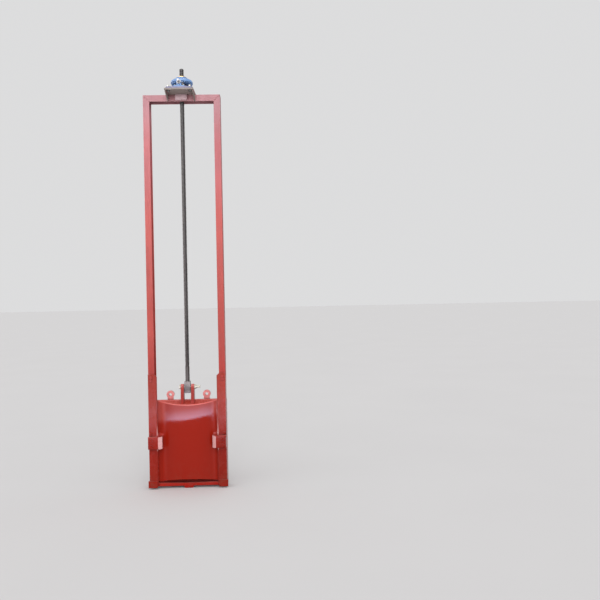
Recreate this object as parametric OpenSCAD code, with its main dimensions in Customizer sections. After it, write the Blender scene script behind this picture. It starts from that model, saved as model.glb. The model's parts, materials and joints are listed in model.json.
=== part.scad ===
// Wall sluice gate with its own hoist frame, in millimetres.
// X runs to the right, Y runs back to the wall and Z runs up.
// The origin is on the wall face of the gate frame, at the middle of its lower edge.

/* [Water opening] */
// Width of the water opening
opening_w = 420; // [360:10:600]
// Height of the water opening
opening_h = 540; // [440:10:700]
// Radius of the corners of the opening
opening_corner_r = 30; // [10:5:60]

/* [Gate frame casting] */
// Thickness of the frame behind the leaf
plate_t = 25; // [18:1:35]
// Width of the frame beside the opening
side_land = 90; // [84:2:120]
// Height of the frame below the opening
sill_land = 65; // [50:5:100]
// Height of the frame above the opening
head_land = 55; // [45:5:90]
// Width of the raised strip that the leaf seals on
strip_w = 20; // [12:1:28]
// Height of the raised strip
strip_t = 3; // [2:0.5:5]
// Thickness of the ledge under the leaf
ledge_t = 22; // [14:1:26]
// Distance from the front of the channels back to the front of the ledge
ledge_inset = 6; // [2:1:20]
// Width of the fixing lug under the ledge
lug_w = 70; // [50:5:100]
// Distance from the frame's lower edge to the bottom of the lug
lug_drop = 19; // [8:1:25]
// Distance between the two anchor eyes
eye_spacing = 286; // [220:2:320]
// Outer radius of an anchor eye
eye_r = 30; // [24:1:36]
// Diameter of the hole in an anchor eye
eye_hole_d = 24; // [14:1:30]
// Height of the anchor eyes above the frame's top edge
eye_rise = 42; // [38:1:70]

/* [Leaf guides] */
// Width of the front lip of a guide
lip_w = 68; // [60:1:80]
// Thickness of the front lip
lip_t = 12; // [8:1:16]
// Width of the rib behind the lip
rib_w = 38; // [30:1:50]
// Thickness of the guide's outer web
guide_web_t = 16; // [10:1:20]
// Height of the guides
guide_h = 800; // [780:10:1000]
// Length of the lip that overlaps the channel above
splice_h = 72; // [60:2:120]
// Size of the bevel at the top of the lip
lip_bevel = 18; // [8:1:30]
// Height of the thick foot at the lower end of a guide
foot_h = 44; // [30:1:60]
// Distance that the foot stands proud of the guide
foot_proud = 8; // [4:1:12]

/* [Wedge blocks] */
// Width of a wedge block
wedge_w = 106; // [100:1:112]
// Height of a wedge block
wedge_h = 94; // [60:2:120]
// Height of the middle of the wedge blocks
wedge_z = 345; // [250:1:420]
// Distance that a wedge block stands in front of its guide
wedge_proud = 45; // [30:1:60]
// Size of the bevel on the front edges of a wedge block
wedge_bevel = 5; // [3:1:15]
// Width of the slope on the inner side of a wedge block
wedge_slope_w = 26; // [10:1:34]

/* [Leaf] */
// Thickness of the flat rim of the leaf
rim_t = 22; // [16:1:26]
// Width of the rim that shows beside the bulge, inside each guide lip
rim_show = 6; // [5:1:30]
// Height of the leaf's lower edge
leaf_z0 = 26; // [24:1:34]
// Height of the leaf
leaf_h = 638; // [628:2:650]
// Width of the rim above and below the bulge
rim_edge = 4; // [3:0.5:12]
// Distance that the bulge stands in front of the rim
bulge_rise = 45; // [30:1:54]
// Height of the sloping face at the top of the bulge
slope_top = 30; // [20:1:45]
// Height of the sloping face at the bottom of the bulge
slope_low = 20; // [16:1:45]
// Thickness of the bulged shell
shell_t = 14; // [10:1:18]
// Thickness of the ribs in the back of the leaf
leaf_rib_t = 12; // [8:1:18]
// Width of the wedge pads on the leaf
pad_w = 34; // [24:1:40]
// Distance that the wedge pads stand in front of the rim
pad_rise = 19; // [12:1:22]

/* [Lifting gear] */
// Gap between the two lifting ears
ear_gap = 56; // [50:1:64]
// Thickness of a lifting ear
ear_t = 24; // [16:1:30]
// Radius of the eye at the top of an ear
ear_r = 22; // [18:1:28]
// Height of the lifting pin
pin_z = 766; // [756:2:800]
// Diameter of the lifting pin
pin_d = 20; // [16:1:24]
// Distance across the flats of the lifting pin's head and nut
pin_flats = 30; // [27:1:36]
// Distance that the pin's threaded end stands out of the right ear
pin_end = 46; // [26:1:60]
// Side of the square block at the foot of the stem
block_w = 44; // [40:1:46]
// Height of that block
block_h = 92; // [84:2:110]
// Diameter of the stem
stem_d = 34; // [28:1:38]
// Height of the stem's top above the channel frame
stem_rise = 215; // [205:5:400]

/* [Channel frame] */
// Overall height of the channel frame
frame_h = 3050; // [2400:50:3050]
// Distance from the wall face to the front of the channels
frame_front = 98; // [96:1:110]
// Depth of the channels
channel_d = 80; // [78:1:88]
// Width of the channel flanges
channel_w = 50; // [44:1:60]
// Thickness of the channels
channel_t = 5; // [4:0.5:8]

/* [Hoist seat] */
// Width of the seat plate
seat_w = 220; // [200:5:260]
// Thickness of the seat plate
seat_t = 12; // [8:1:20]
// Distance from the stem to the front edge of the seat plate
seat_front = 175; // [170:5:200]
// Distance from the stem to the back edge of the seat plate
seat_back = 90; // [85:5:120]
// Width of the packer in front of the top beam
packer_w = 90; // [60:5:120]
// Thickness of the packer
packer_t = 20; // [10:1:30]
// Height of the packer
packer_h = 44; // [30:1:50]
// Thickness of the gussets under the seat plate
gusset_t = 8; // [5:1:12]
// Depth of the thin end of a gusset
gusset_toe = 10; // [6:1:20]

/* [Hoist] */
// Margin of the seat plate round the hoist base
base_margin = 8; // [2:1:12]
// Thickness of the hoist base
base_t = 14; // [10:1:20]
// Radius of the corners of the hoist base
base_corner_r = 18; // [10:1:24]
// Distance of the bolt holes from the edges of the hoist base
bolt_inset = 20; // [20:1:26]
// Diameter of the hoist bolt holes
bolt_hole_d = 13; // [11:1:16]
// Height of the crank shaft above the hoist base
shaft_rise = 38; // [37:1:44]
// Radius of the pedestal round the stem
pedestal_r = 44; // [43:1:46]
// Thickness of the pedestal above the end of the crank shaft
journal_wall = 5; // [4:0.5:6]
// Height of the thrust ring
thrust_t = 8; // [5:1:12]
// Diameter of the crank shaft
shaft_d = 22; // [18:1:26]
// Distance from the stem to the end of the crank shaft
shaft_reach = 204; // [196:2:230]
// Side of the square end of the crank shaft
square_w = 15; // [12:1:18]
// Length of the square end
square_l = 34; // [20:1:40]
// Distance from the stem to the front face of the bearing block
bearing_reach = 156; // [150:1:160]
// Width of the foot of the bearing block
bearing_w = 84; // [70:2:100]
// Length of the bearing block along the shaft
bearing_l = 44; // [30:1:50]
// Thickness of metal round the shaft in the bearing block
bearing_wall = 6; // [4:1:9]

/* [Bevel gears] */
// Number of teeth on the crown gear
crown_teeth = 32; // [28:1:32]
// Number of teeth on the bevel pinion
pinion_teeth = 10; // [9:1:10]
// Size of the teeth at their outer ends, as pitch diameter over count
gear_module = 5; // [4.5:0.1:5]
// Length of the teeth
face_w = 24; // [16:1:24]
// Height of the pinion's teeth above the pitch line
pinion_addendum = 5.75; // [5:0.05:5.75]
// Height of the crown gear's teeth beyond the pitch line
crown_addendum = 3.5; // [2.5:0.1:3.5]
// Gap between the tips of the teeth and the roots that they run in
tip_gap = 0.95; // [0.8:0.05:1.5]
// Half of the thickness of a pinion tooth on the pitch line
pinion_half = 4.1; // [3.6:0.05:4.15]
// Half of the thickness of a crown gear tooth on the pitch line
crown_half = 3.05; // [2.6:0.05:3.1]
// Width of the rim outside the crown gear's teeth
crown_rim_w = 6; // [4:1:10]
// Thickness of the rim of the crown gear
crown_rim_t = 8; // [5:1:12]
// Radius of the boss on top of the crown gear
crown_boss_r = 46; // [42:1:52]
// Height of the boss above the crown gear's rim
crown_boss_h = 34; // [16:1:40]
// Radius of the collar on top of the drive nut
nut_collar_r = 34; // [31:1:40]
// Outer radius of the drive nut
nut_r = 28; // [25:1:30]
// Distance that the drive nut stands out of the crown gear
nut_proud = 9; // [4:1:16]

/* [Clearances] */
// Gap between the leaf and the seal strip or the guide ribs
leaf_gap = 5; // [5:0.5:6]
// Gap between the edges of the leaf and the guide webs
side_gap = 8; // [6:1:12]
// Gap between the leaf's lower edge and the ledge
sill_gap = 6; // [5:0.5:8]
// Gap between the leaf's pads and the wedge blocks
wedge_gap = 6; // [5:0.5:8]
// Gap round the stem where it passes through plates
stem_gap = 5; // [5:0.5:6]
// Gap round the lifting pin and the foot of the stem
pin_gap = 0.2; // [0.1:0.05:0.4]
// Gap round the turning shaft and the thread of the stem
run_gap = 0.08; // [0.05:0.01:0.1]
// Gap between turning faces that carry thrust
face_gap = 0.3; // [0.2:0.05:0.4]

/* [Hidden] */
$fn = 64;
cut = 1;

frame_w = opening_w + 2 * side_land;
frame_x = frame_w / 2;
opening_z0 = sill_land;
opening_z1 = opening_z0 + opening_h;
plate_top = opening_z1 + head_land;
eye_z = plate_top + eye_rise;

strip_y = -plate_t - strip_t;
leaf_back = strip_y - leaf_gap;
rim_front = leaf_back - rim_t;
rib_back = rim_front - leaf_gap;
lip_back = -frame_front;
lip_front = lip_back - lip_t;
lip_x = frame_x - lip_w;
rib_x = frame_x - rib_w;

leaf_x = frame_x - guide_web_t - side_gap;
leaf_z1 = leaf_z0 + leaf_h;
ledge_z0 = leaf_z0 - sill_gap - ledge_t;
ledge_front = lip_back + ledge_inset;
bulge_x = lip_x - rim_show;
bulge_r = (bulge_x * bulge_x + bulge_rise * bulge_rise) / (2 * bulge_rise);
bulge_front = rim_front - bulge_rise;
bulge_cy = bulge_front + bulge_r;
bulge_z0 = leaf_z0 + rim_edge;
bulge_z1 = leaf_z1 - rim_edge;
cavity_x = opening_w / 2 - strip_w;
pad_x1 = lip_x - 2;
pad_x0 = pad_x1 - pad_w;
pad_front = rim_front - pad_rise;

stem_y = channel_d / 2 - frame_front;
stem_r = stem_d / 2;
channel_back = channel_d - frame_front;
stem_hole_r = stem_r + stem_gap;
beam_z = frame_h - channel_w;

seat_top = frame_h + seat_t;
base_top = seat_top + base_t;
base_x = seat_w / 2 - base_margin;
base_y0 = stem_y - seat_front + base_margin;
base_y1 = stem_y + seat_back - base_margin;
shaft_z = base_top + shaft_rise;
shaft_r = shaft_d / 2;

crown_pr = gear_module * crown_teeth / 2;
pinion_pr = gear_module * pinion_teeth / 2;
pressure = 20;
pinion_root = pinion_pr - crown_addendum - tip_gap;
gear_cone = atan(pinion_teeth / crown_teeth);
gear_taper = (crown_pr - face_w) / crown_pr;
tooth_root = 1.5;
face_inner = crown_pr - face_w;
crown_rim_r = crown_pr + crown_rim_w;
crown_root = (pinion_pr + pinion_addendum + tip_gap) / crown_pr;
pedestal_top = shaft_z + shaft_r + journal_wall;
crown_foot = pedestal_top + thrust_t + face_gap;
crown_rim_z = shaft_z + crown_root * crown_rim_r + crown_rim_t;
crown_top = crown_rim_z + crown_boss_h;
shaft_inner = pedestal_r - 12;
bearing_y1 = stem_y - bearing_reach;
bearing_y0 = bearing_y1 + bearing_l;
stem_foot = pin_z + pin_d;
stem_top = frame_h + stem_rise;

gate_red = [0.66, 0.20, 0.14];
hoist_blue = [0.42, 0.62, 0.85];
base_grey = [0.80, 0.79, 0.86];
dark_steel = [0.16, 0.15, 0.15];
bright_steel = [0.62, 0.62, 0.60];
bronze = [0.66, 0.50, 0.25];

// Extrudes an outline drawn as (x, z) forward from y_back by depth.
module face_slab(y_back, depth) {
    translate([0, y_back, 0])
        rotate([90, 0, 0])
            linear_extrude(depth) children();
}

// Extrudes an outline drawn as (y, z) to the right from x0 by width.
module side_slab(x0, width) {
    translate([x0, 0, 0])
        rotate([90, 0, 90])
            linear_extrude(width) children();
}

// A box given by its two opposite corners.
module box(low, high) {
    translate(low) cube(high - low);
}

// A rod along Y from y0 forward to y1.
module y_rod(x, z, y0, y1, r) {
    translate([x, y0, z])
        rotate([90, 0, 0]) cylinder(r = r, h = y0 - y1);
}

// An outline with round corners, given by its two opposite corners.
module round_rect(low, high, r) {
    translate([low[0] + r, low[1]]) square([high[0] - low[0] - 2 * r, high[1] - low[1]]);
    translate([low[0], low[1] + r]) square([high[0] - low[0], high[1] - low[1] - 2 * r]);
    for (x = [low[0] + r, high[0] - r])
        for (y = [low[1] + r, high[1] - r])
            translate([x, y]) circle(r = r);
}

module on_left() {
    mirror([1, 0, 0]) children();
}

// The wall frame is one casting: plate, seal strip, ledge, lug and two anchor eyes.
module seat_frame() {
    color(gate_red)
        difference() {
            union() {
                face_slab(0, plate_t) difference() {
                    translate([-frame_x, 0]) square([frame_w, plate_top]);
                    opening_outline(0);
                }
                face_slab(-plate_t, strip_t) difference() {
                    opening_outline(strip_w);
                    opening_outline(0);
                }
                box([-rib_x, ledge_front, ledge_z0], [rib_x, -plate_t, ledge_z0 + ledge_t]);
                box([-lug_w / 2, ledge_front, -lug_drop], [lug_w / 2, 0, ledge_z0]);
                for (side = [-1, 1]) anchor_eye(side * eye_spacing / 2);
            }
            for (side = [-1, 1])
                y_rod(side * eye_spacing / 2, eye_z, cut, -plate_t - cut, eye_hole_d / 2);
        }
}

module opening_outline(grow) {
    round_rect([-opening_w / 2 - grow, opening_z0 - grow],
        [opening_w / 2 + grow, opening_z1 + grow], opening_corner_r + grow);
}

module anchor_eye(x) {
    neck_w = 1.5 * eye_r;
    box([x - neck_w / 2, -plate_t, plate_top], [x + neck_w / 2, 0, eye_z]);
    y_rod(x, eye_z, 0, -plate_t, eye_r);
}

// A guide is a hooked section that traps the edge of the leaf. Its lip runs on
// over the foot of the channel, and it stands on a thick foot.
module guide() {
    lip_top = guide_h + splice_h;
    neck_x = frame_x - channel_w;
    color(gate_red) {
        linear_extrude(guide_h) polygon([
            [frame_x, -plate_t], [frame_x - guide_web_t, -plate_t],
            [frame_x - guide_web_t, rib_back], [rib_x, rib_back],
            [rib_x, lip_back], [lip_x, lip_back],
            [lip_x, lip_front], [frame_x, lip_front]
        ]);
        face_slab(lip_back, lip_t) polygon([
            [frame_x, foot_h], [frame_x, lip_top], [neck_x, lip_top],
            [lip_x, lip_top - lip_bevel], [lip_x, foot_h]
        ]);
        face_slab(lip_back, lip_t + foot_proud) polygon([
            [lip_x + foot_proud, foot_h], [lip_x + foot_proud, -foot_proud],
            [frame_x + foot_proud, -foot_proud], [frame_x + foot_proud, foot_h]
        ]);
    }
}

// A wedge block is bolted to the guide, slopes on its inner side and has a hook
// behind it that presses the leaf shut.
module wedge_block() {
    x0 = frame_x - wedge_w;
    front = lip_front - wedge_proud;
    z0 = wedge_z - wedge_h / 2;
    z1 = wedge_z + wedge_h / 2;
    hook_y = pad_front - wedge_gap;
    color(gate_red) {
        intersection() {
            side_slab(x0, wedge_w) polygon([
                [lip_front, z0], [lip_front, z1],
                [front + wedge_bevel, z1], [front, z1 - wedge_bevel],
                [front, z0 + wedge_bevel], [front + wedge_bevel, z0]
            ]);
            translate([0, 0, z0]) linear_extrude(wedge_h) polygon([
                [x0, lip_front], [x0, front + 0.6 * wedge_proud], [x0 + wedge_slope_w, front],
                [frame_x - wedge_bevel, front], [frame_x, front + wedge_bevel],
                [frame_x, lip_front]
            ]);
        }
        box([x0, lip_front - wedge_bevel, z0], [lip_x, hook_y, z1]);
    }
}

// A leaf is a flat rim with a shell that bulges forward, open and ribbed at the back.
module leaf() {
    color(gate_red)
        difference() {
            union() {
                box([-leaf_x, rim_front, leaf_z0], [leaf_x, leaf_back, leaf_z1]);
                intersection() {
                    translate([0, bulge_cy, bulge_z0])
                        cylinder(r = bulge_r, h = bulge_z1 - bulge_z0, $fn = 180);
                    side_slab(-bulge_x, 2 * bulge_x) bulge_side(0);
                }
                for (side = [-1, 1]) wedge_pad(side);
            }
            difference() {
                intersection() {
                    translate([0, bulge_cy, bulge_z0])
                        cylinder(r = bulge_r - shell_t, h = bulge_z1 - bulge_z0, $fn = 180);
                    side_slab(-cavity_x, 2 * cavity_x) bulge_side(shell_t);
                }
                leaf_ribs();
            }
        }
}

// The bulge seen from the side, with sloping faces at its ends, set in by wall.
module bulge_side(wall) {
    z0 = bulge_z0 + wall;
    z1 = bulge_z1 - wall;
    back = wall > 0 ? leaf_back : (leaf_back + rim_front) / 2;
    polygon([
        [back + cut, z0], [back + cut, z1], [rim_front, z1],
        [bulge_front, z1 - slope_top], [bulge_front - cut, z1 - slope_top],
        [bulge_front - cut, z0 + slope_low], [bulge_front, z0 + slope_low], [rim_front, z0]
    ]);
}

module leaf_ribs() {
    rib_y = leaf_back - 4;
    for (share = [1 / 3, 2 / 3]) {
        z = bulge_z0 + share * (bulge_z1 - bulge_z0);
        box([-bulge_x, bulge_front, z - leaf_rib_t / 2], [bulge_x, rib_y, z + leaf_rib_t / 2]);
    }
    box([-leaf_rib_t / 2, bulge_front, bulge_z0], [leaf_rib_t / 2, rib_y, bulge_z1]);
}

module wedge_pad(side) {
    x = side < 0 ? -pad_x1 : pad_x0;
    pad_h = wedge_h + 4;
    bevel = pad_rise;
    side_slab(x, pad_w) polygon([
        [rim_front, wedge_z - pad_h / 2 - bevel], [rim_front, wedge_z + pad_h / 2 + bevel],
        [pad_front, wedge_z + pad_h / 2], [pad_front, wedge_z - pad_h / 2]
    ]);
}

// A lifting ear stands on the top of the leaf and follows its sloping top face.
module ear() {
    front = bulge_front + 6;
    slope_z = bulge_z1 - slope_top * (rim_front - front) / bulge_rise;
    color(gate_red)
        difference() {
            union() {
                side_slab(ear_gap / 2, ear_t) polygon([
                    [leaf_back, leaf_z1], [rim_front, leaf_z1], [rim_front, bulge_z1],
                    [front, slope_z], [front, leaf_z1],
                    [stem_y - ear_r, pin_z], [stem_y + ear_r, pin_z]
                ]);
                translate([ear_gap / 2, stem_y, pin_z])
                    rotate([0, 90, 0]) cylinder(r = ear_r, h = ear_t);
            }
            translate([ear_gap / 2 - cut, stem_y, pin_z])
                rotate([0, 90, 0]) cylinder(r = pin_d / 2 + pin_gap, h = ear_t + 2 * cut);
        }
}

// The lifting pin is a bolt with a hexagon head on the left and a nut on the right.
module lift_pin() {
    ear_face = ear_gap / 2 + ear_t;
    head_t = 0.65 * pin_d;
    nut_t = 0.8 * pin_d;
    hex_r = pin_flats / sqrt(3);
    color(bright_steel)
        translate([-ear_face, stem_y, pin_z]) rotate([0, 90, 0]) {
            translate([0, 0, -head_t]) cylinder(r = hex_r, h = head_t, $fn = 6);
            translate([0, 0, -head_t / 2])
                cylinder(r = pin_d / 2, h = head_t / 2 + 2 * ear_face + pin_end);
            translate([0, 0, 2 * ear_face]) cylinder(r = hex_r, h = nut_t, $fn = 6);
        }
}

module stem_block() {
    z0 = pin_z - 1.1 * block_w;
    color(dark_steel)
        difference() {
            box([-block_w / 2, stem_y - block_w / 2, z0],
                [block_w / 2, stem_y + block_w / 2, z0 + block_h]);
            translate([-block_w, stem_y, pin_z])
                rotate([0, 90, 0]) cylinder(r = pin_d / 2 + pin_gap, h = 2 * block_w);
            translate([0, stem_y, stem_foot]) cylinder(r = stem_r + pin_gap, h = block_h);
        }
}

module stem() {
    tip = 3;
    color(dark_steel)
        translate([0, stem_y, stem_foot]) {
            cylinder(r = stem_r, h = stem_top - stem_foot - tip);
            translate([0, 0, stem_top - stem_foot - tip])
                cylinder(r1 = stem_r, r2 = stem_r - tip, h = tip);
        }
}

// An upright is a channel that is open inward and mitred at its top.
module upright() {
    x0 = frame_x - channel_w;
    color(gate_red)
        difference() {
            face_slab(channel_back, channel_d) polygon([
                [x0, guide_h], [frame_x, guide_h], [frame_x, frame_h], [x0, beam_z]
            ]);
            box([x0 - cut, lip_back + channel_t, guide_h - cut],
                [frame_x - channel_t, channel_back - channel_t, frame_h]);
        }
}

// The top beam is the same channel, open downward and mitred at both ends.
module top_beam() {
    x0 = frame_x - channel_w;
    color(gate_red)
        difference() {
            face_slab(channel_back, channel_d) polygon([
                [-x0, beam_z], [x0, beam_z], [frame_x, frame_h], [-frame_x, frame_h]
            ]);
            box([-frame_x, lip_back + channel_t, beam_z - cut],
                [frame_x, channel_back - channel_t, frame_h - channel_t]);
            translate([0, stem_y, beam_z]) cylinder(r = stem_hole_r, h = channel_w + cut);
        }
}

module beam_packer() {
    color(base_grey)
        box([-packer_w / 2, lip_back - packer_t, frame_h - packer_h],
            [packer_w / 2, lip_back, frame_h]);
}

module hoist_bolt_holes(z0, z1) {
    for (x = [-base_x + bolt_inset, base_x - bolt_inset])
        for (y = [base_y0 + bolt_inset, base_y1 - bolt_inset])
            translate([x, y, z0 - cut]) cylinder(d = bolt_hole_d, h = z1 - z0 + 2 * cut);
}

module seat_plate() {
    color(gate_red)
        difference() {
            box([-seat_w / 2, stem_y - seat_front, frame_h],
                [seat_w / 2, stem_y + seat_back, seat_top]);
            translate([0, stem_y, frame_h - cut]) cylinder(r = stem_hole_r, h = seat_t + 2 * cut);
            hoist_bolt_holes(frame_h, seat_top);
        }
}

module seat_gusset() {
    inset = 2;
    tip = stem_y - seat_front + gusset_toe;
    color(gate_red)
        side_slab(seat_w / 2 - inset - gusset_t, gusset_t) polygon([
            [lip_back, beam_z], [lip_back, frame_h], [tip, frame_h], [tip, frame_h - gusset_toe]
        ]);
}

module hoist_base() {
    color(base_grey)
        difference() {
            union() {
                translate([0, 0, seat_top]) linear_extrude(base_t)
                    round_rect([-base_x, base_y0], [base_x, base_y1], base_corner_r);
                translate([0, stem_y, base_top - cut])
                    cylinder(r = pedestal_r, h = pedestal_top - base_top + cut);
            }
            translate([0, stem_y, seat_top - cut])
                cylinder(r = stem_hole_r, h = pedestal_top - seat_top + 2 * cut);
            y_rod(0, shaft_z, stem_y - shaft_inner + 1, stem_y - pedestal_r - cut,
                shaft_r + run_gap);
            hoist_bolt_holes(seat_top, base_top);
        }
}

// The bearing block has a bolted foot and a round-topped body round the shaft.
module bearing_block() {
    body_r = shaft_r + bearing_wall;
    foot_t = 12;
    color(hoist_blue)
        difference() {
            union() {
                box([-bearing_w / 2, bearing_y1, base_top],
                    [bearing_w / 2, bearing_y0, base_top + foot_t]);
                box([-body_r, bearing_y1, base_top], [body_r, bearing_y0, shaft_z]);
                y_rod(0, shaft_z, bearing_y0, bearing_y1, body_r);
            }
            y_rod(0, shaft_z, bearing_y0 + cut, bearing_y1 - cut, shaft_r + run_gap);
        }
}

module thrust_ring() {
    color(bright_steel)
        translate([0, stem_y, pedestal_top])
            difference() {
                cylinder(r = pedestal_r - 2, h = thrust_t);
                translate([0, 0, -cut]) cylinder(r = nut_r + 2, h = thrust_t + 2 * cut);
            }
}

// Tapers an outline drawn as (x, z) on the outer plane of the teeth towards the
// point where the two gear axes cross.
module taper_slab() {
    translate([0, stem_y - crown_pr, shaft_z])
        rotate([-90, 0, 0])
            linear_extrude(height = face_w, scale = gear_taper) mirror([0, 1]) children();
}

// The crown gear is a dome on a hub, with its teeth underneath.
module crown_gear() {
    eye = face_inner - 4;
    dome_h = 0.66 * crown_boss_h;
    color(hoist_blue) {
        translate([0, stem_y, 0]) rotate_extrude() polygon(concat(
            [[nut_r, crown_foot], [eye, crown_foot], [eye, shaft_z + crown_root * eye]],
            [[crown_rim_r, crown_rim_z - crown_rim_t]],
            [for (a = [0 : 10 : 80]) [
                crown_boss_r + (crown_rim_r - crown_boss_r) * cos(a),
                crown_rim_z + dome_h * sin(a)
            ]],
            [[crown_boss_r, crown_rim_z + dome_h], [crown_boss_r, crown_top], [nut_r, crown_top]]
        ));
        for (i = [0 : crown_teeth - 1])
            translate([0, stem_y, 0]) rotate([0, 0, i * 360 / crown_teeth])
                translate([0, -stem_y, 0]) taper_slab() crown_tooth();
    }
}

// One tooth of the crown gear, with straight sides that lean at the pressure angle.
module crown_tooth() {
    tip = pinion_pr - crown_addendum;
    root = pinion_pr + pinion_addendum + tip_gap + tooth_root;
    tip_half = crown_half - crown_addendum * tan(pressure);
    root_half = crown_half + (root - pinion_pr) * tan(pressure);
    polygon([[-tip_half, tip], [tip_half, tip], [root_half, root], [-root_half, root]]);
}

module drive_nut() {
    bore_r = stem_r + run_gap;
    color(bronze)
        translate([0, stem_y, 0]) rotate_extrude() polygon([
            [bore_r, crown_foot], [nut_r, crown_foot], [nut_r, crown_top],
            [nut_collar_r, crown_top], [nut_collar_r, crown_top + nut_proud],
            [bore_r, crown_top + nut_proud]
        ]);
}

// Half of the thickness of a pinion tooth at a height h above the pitch line.
// The flank is an involute of the spur gear that rolls like this bevel gear.
function involute(a) = tan(a) - a * PI / 180;
function flank_half(h) =
    let (
        rolling_r = pinion_pr / cos(gear_cone),
        base_r = rolling_r * cos(pressure),
        r = rolling_r + h,
        turn = r > base_r ? involute(acos(base_r / r)) : 0
    )
    r * (pinion_half / rolling_r + involute(pressure) - turn);

function tooth_point(h, side, centre) =
    let (
        r = pinion_pr + h * cos(gear_cone),
        a = centre + side * flank_half(h) / r * 180 / PI
    )
    [r * cos(a), r * sin(a)];

// The bevel pinion narrows towards the stem. A gap between two teeth points up.
module bevel_pinion() {
    pitch_angle = 360 / pinion_teeth;
    low = pinion_root - pinion_pr;
    heights = [for (i = [0 : 4]) low + i * (pinion_addendum - low) / 4];
    hub_r = shaft_r + 6;
    color(dark_steel)
        difference() {
            union() {
                taper_slab() polygon([
                    for (i = [0 : pinion_teeth - 1])
                        for (side = [-1, 1])
                            for (k = [0 : 4])
                                tooth_point(heights[side < 0 ? k : 4 - k], side,
                                    90 + (i + 0.5) * pitch_angle)
                ]);
                y_rod(0, shaft_z, stem_y - crown_pr + cut, bearing_y0 + face_gap, hub_r);
            }
            y_rod(0, shaft_z, stem_y, bearing_y0 - cut, shaft_r);
        }
}

// The crank shaft has a collar in front of its bearing and a square end for a handle.
module crank_shaft() {
    square_y = stem_y - shaft_reach + square_l;
    collar_l = 7;
    collar_y = bearing_y1 - face_gap;
    color(bright_steel) {
        y_rod(0, shaft_z, stem_y - shaft_inner, square_y, shaft_r);
        y_rod(0, shaft_z, collar_y, collar_y - collar_l, shaft_r + 5);
        box([-square_w / 2, square_y - square_l, shaft_z - square_w / 2],
            [square_w / 2, square_y, shaft_z + square_w / 2]);
    }
}

seat_frame();
on_left() guide();  // guide_left
guide();  // guide_right
on_left() wedge_block();  // wedge_block_left
wedge_block();  // wedge_block_right
on_left() upright();  // upright_left
upright();  // upright_right
top_beam();
beam_packer();
seat_plate();
on_left() seat_gusset();  // seat_gusset_left
seat_gusset();  // seat_gusset_right
hoist_base();
bearing_block();
thrust_ring();
leaf();
on_left() ear();  // ear_left
ear();  // ear_right
lift_pin();
stem_block();
stem();
crown_gear();
drive_nut();
bevel_pinion();
crank_shaft();
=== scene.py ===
import json
import math
import random

import bmesh
import bpy
from mathutils import Matrix, Vector, noise


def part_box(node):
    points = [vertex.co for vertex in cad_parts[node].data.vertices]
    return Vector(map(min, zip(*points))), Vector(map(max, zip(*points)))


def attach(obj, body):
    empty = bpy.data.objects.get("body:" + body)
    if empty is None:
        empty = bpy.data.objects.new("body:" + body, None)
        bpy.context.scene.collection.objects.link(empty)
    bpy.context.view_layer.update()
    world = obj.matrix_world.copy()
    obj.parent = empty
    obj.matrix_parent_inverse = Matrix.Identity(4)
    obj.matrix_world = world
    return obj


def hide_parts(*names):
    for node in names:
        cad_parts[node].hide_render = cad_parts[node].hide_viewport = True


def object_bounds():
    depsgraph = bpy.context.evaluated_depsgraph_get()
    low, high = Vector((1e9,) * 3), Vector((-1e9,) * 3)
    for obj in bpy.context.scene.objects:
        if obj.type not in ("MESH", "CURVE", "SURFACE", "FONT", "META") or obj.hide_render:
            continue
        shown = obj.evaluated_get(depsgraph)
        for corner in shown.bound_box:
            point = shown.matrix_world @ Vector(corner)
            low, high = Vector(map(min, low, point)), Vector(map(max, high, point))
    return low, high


# The looks of the sluice gate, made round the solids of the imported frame, in metres.

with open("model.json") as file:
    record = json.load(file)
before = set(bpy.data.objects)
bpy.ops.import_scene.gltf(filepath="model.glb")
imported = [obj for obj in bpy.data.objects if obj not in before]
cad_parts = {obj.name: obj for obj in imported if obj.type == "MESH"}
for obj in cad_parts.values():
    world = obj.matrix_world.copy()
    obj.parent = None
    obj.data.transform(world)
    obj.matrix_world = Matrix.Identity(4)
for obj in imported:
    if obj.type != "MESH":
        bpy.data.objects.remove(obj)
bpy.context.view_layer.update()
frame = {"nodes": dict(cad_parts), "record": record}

RECORD = frame["record"]
BODY = {node: body for body, nodes in RECORD["behaviour"]["bodies"].items() for node in nodes}
SLOT = {row["node"]: row["material_slot"] for row in RECORD["subparts"]}
RNG = random.Random(7)
MM = 0.001
M10, M12, M14 = 10 * MM, 12 * MM, 14 * MM
FRONT, BACK, UP, DOWN = (0, -1, 0), (0, 1, 0), (0, 0, 1), (0, 0, -1)


def put_in_scene(name, data):
    made = bpy.data.objects.new(name, data)
    bpy.context.scene.collection.objects.link(made)
    return made


# The camera stands where the photograph was taken, and leans as it did.
def add_camera():
    data = bpy.data.cameras.new("camera")
    data.lens = 39.0
    data.sensor_width = 36.0
    data.clip_end = 200.0
    camera = put_in_scene("camera", data)
    camera.location = (0.760, -5.192, 1.415)
    camera.rotation_euler = [math.radians(a) for a in (90.16, 1.15, -1.52)]
    bpy.context.scene.camera = camera


add_camera()


# Material helpers. A value that comes out of a node is linked, and any other is set.

def put(tree, socket, value):
    if isinstance(value, bpy.types.NodeSocket):
        tree.links.new(value, socket)
    else:
        socket.default_value = value


def add(tree, kind, inputs=None, **props):
    node = tree.nodes.new(kind)
    for key, value in props.items():
        setattr(node, key, value)
    for key, value in (inputs or {}).items():
        put(tree, node.inputs[key], value)
    return node


def object_point(tree):
    return add(tree, "ShaderNodeTexCoord").outputs["Object"]


def part_of(tree, vector, axis):
    return add(tree, "ShaderNodeSeparateXYZ", {0: vector}).outputs[axis]


def facing_up(tree):
    return part_of(tree, add(tree, "ShaderNodeNewGeometry").outputs["Normal"], "Z")


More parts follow.
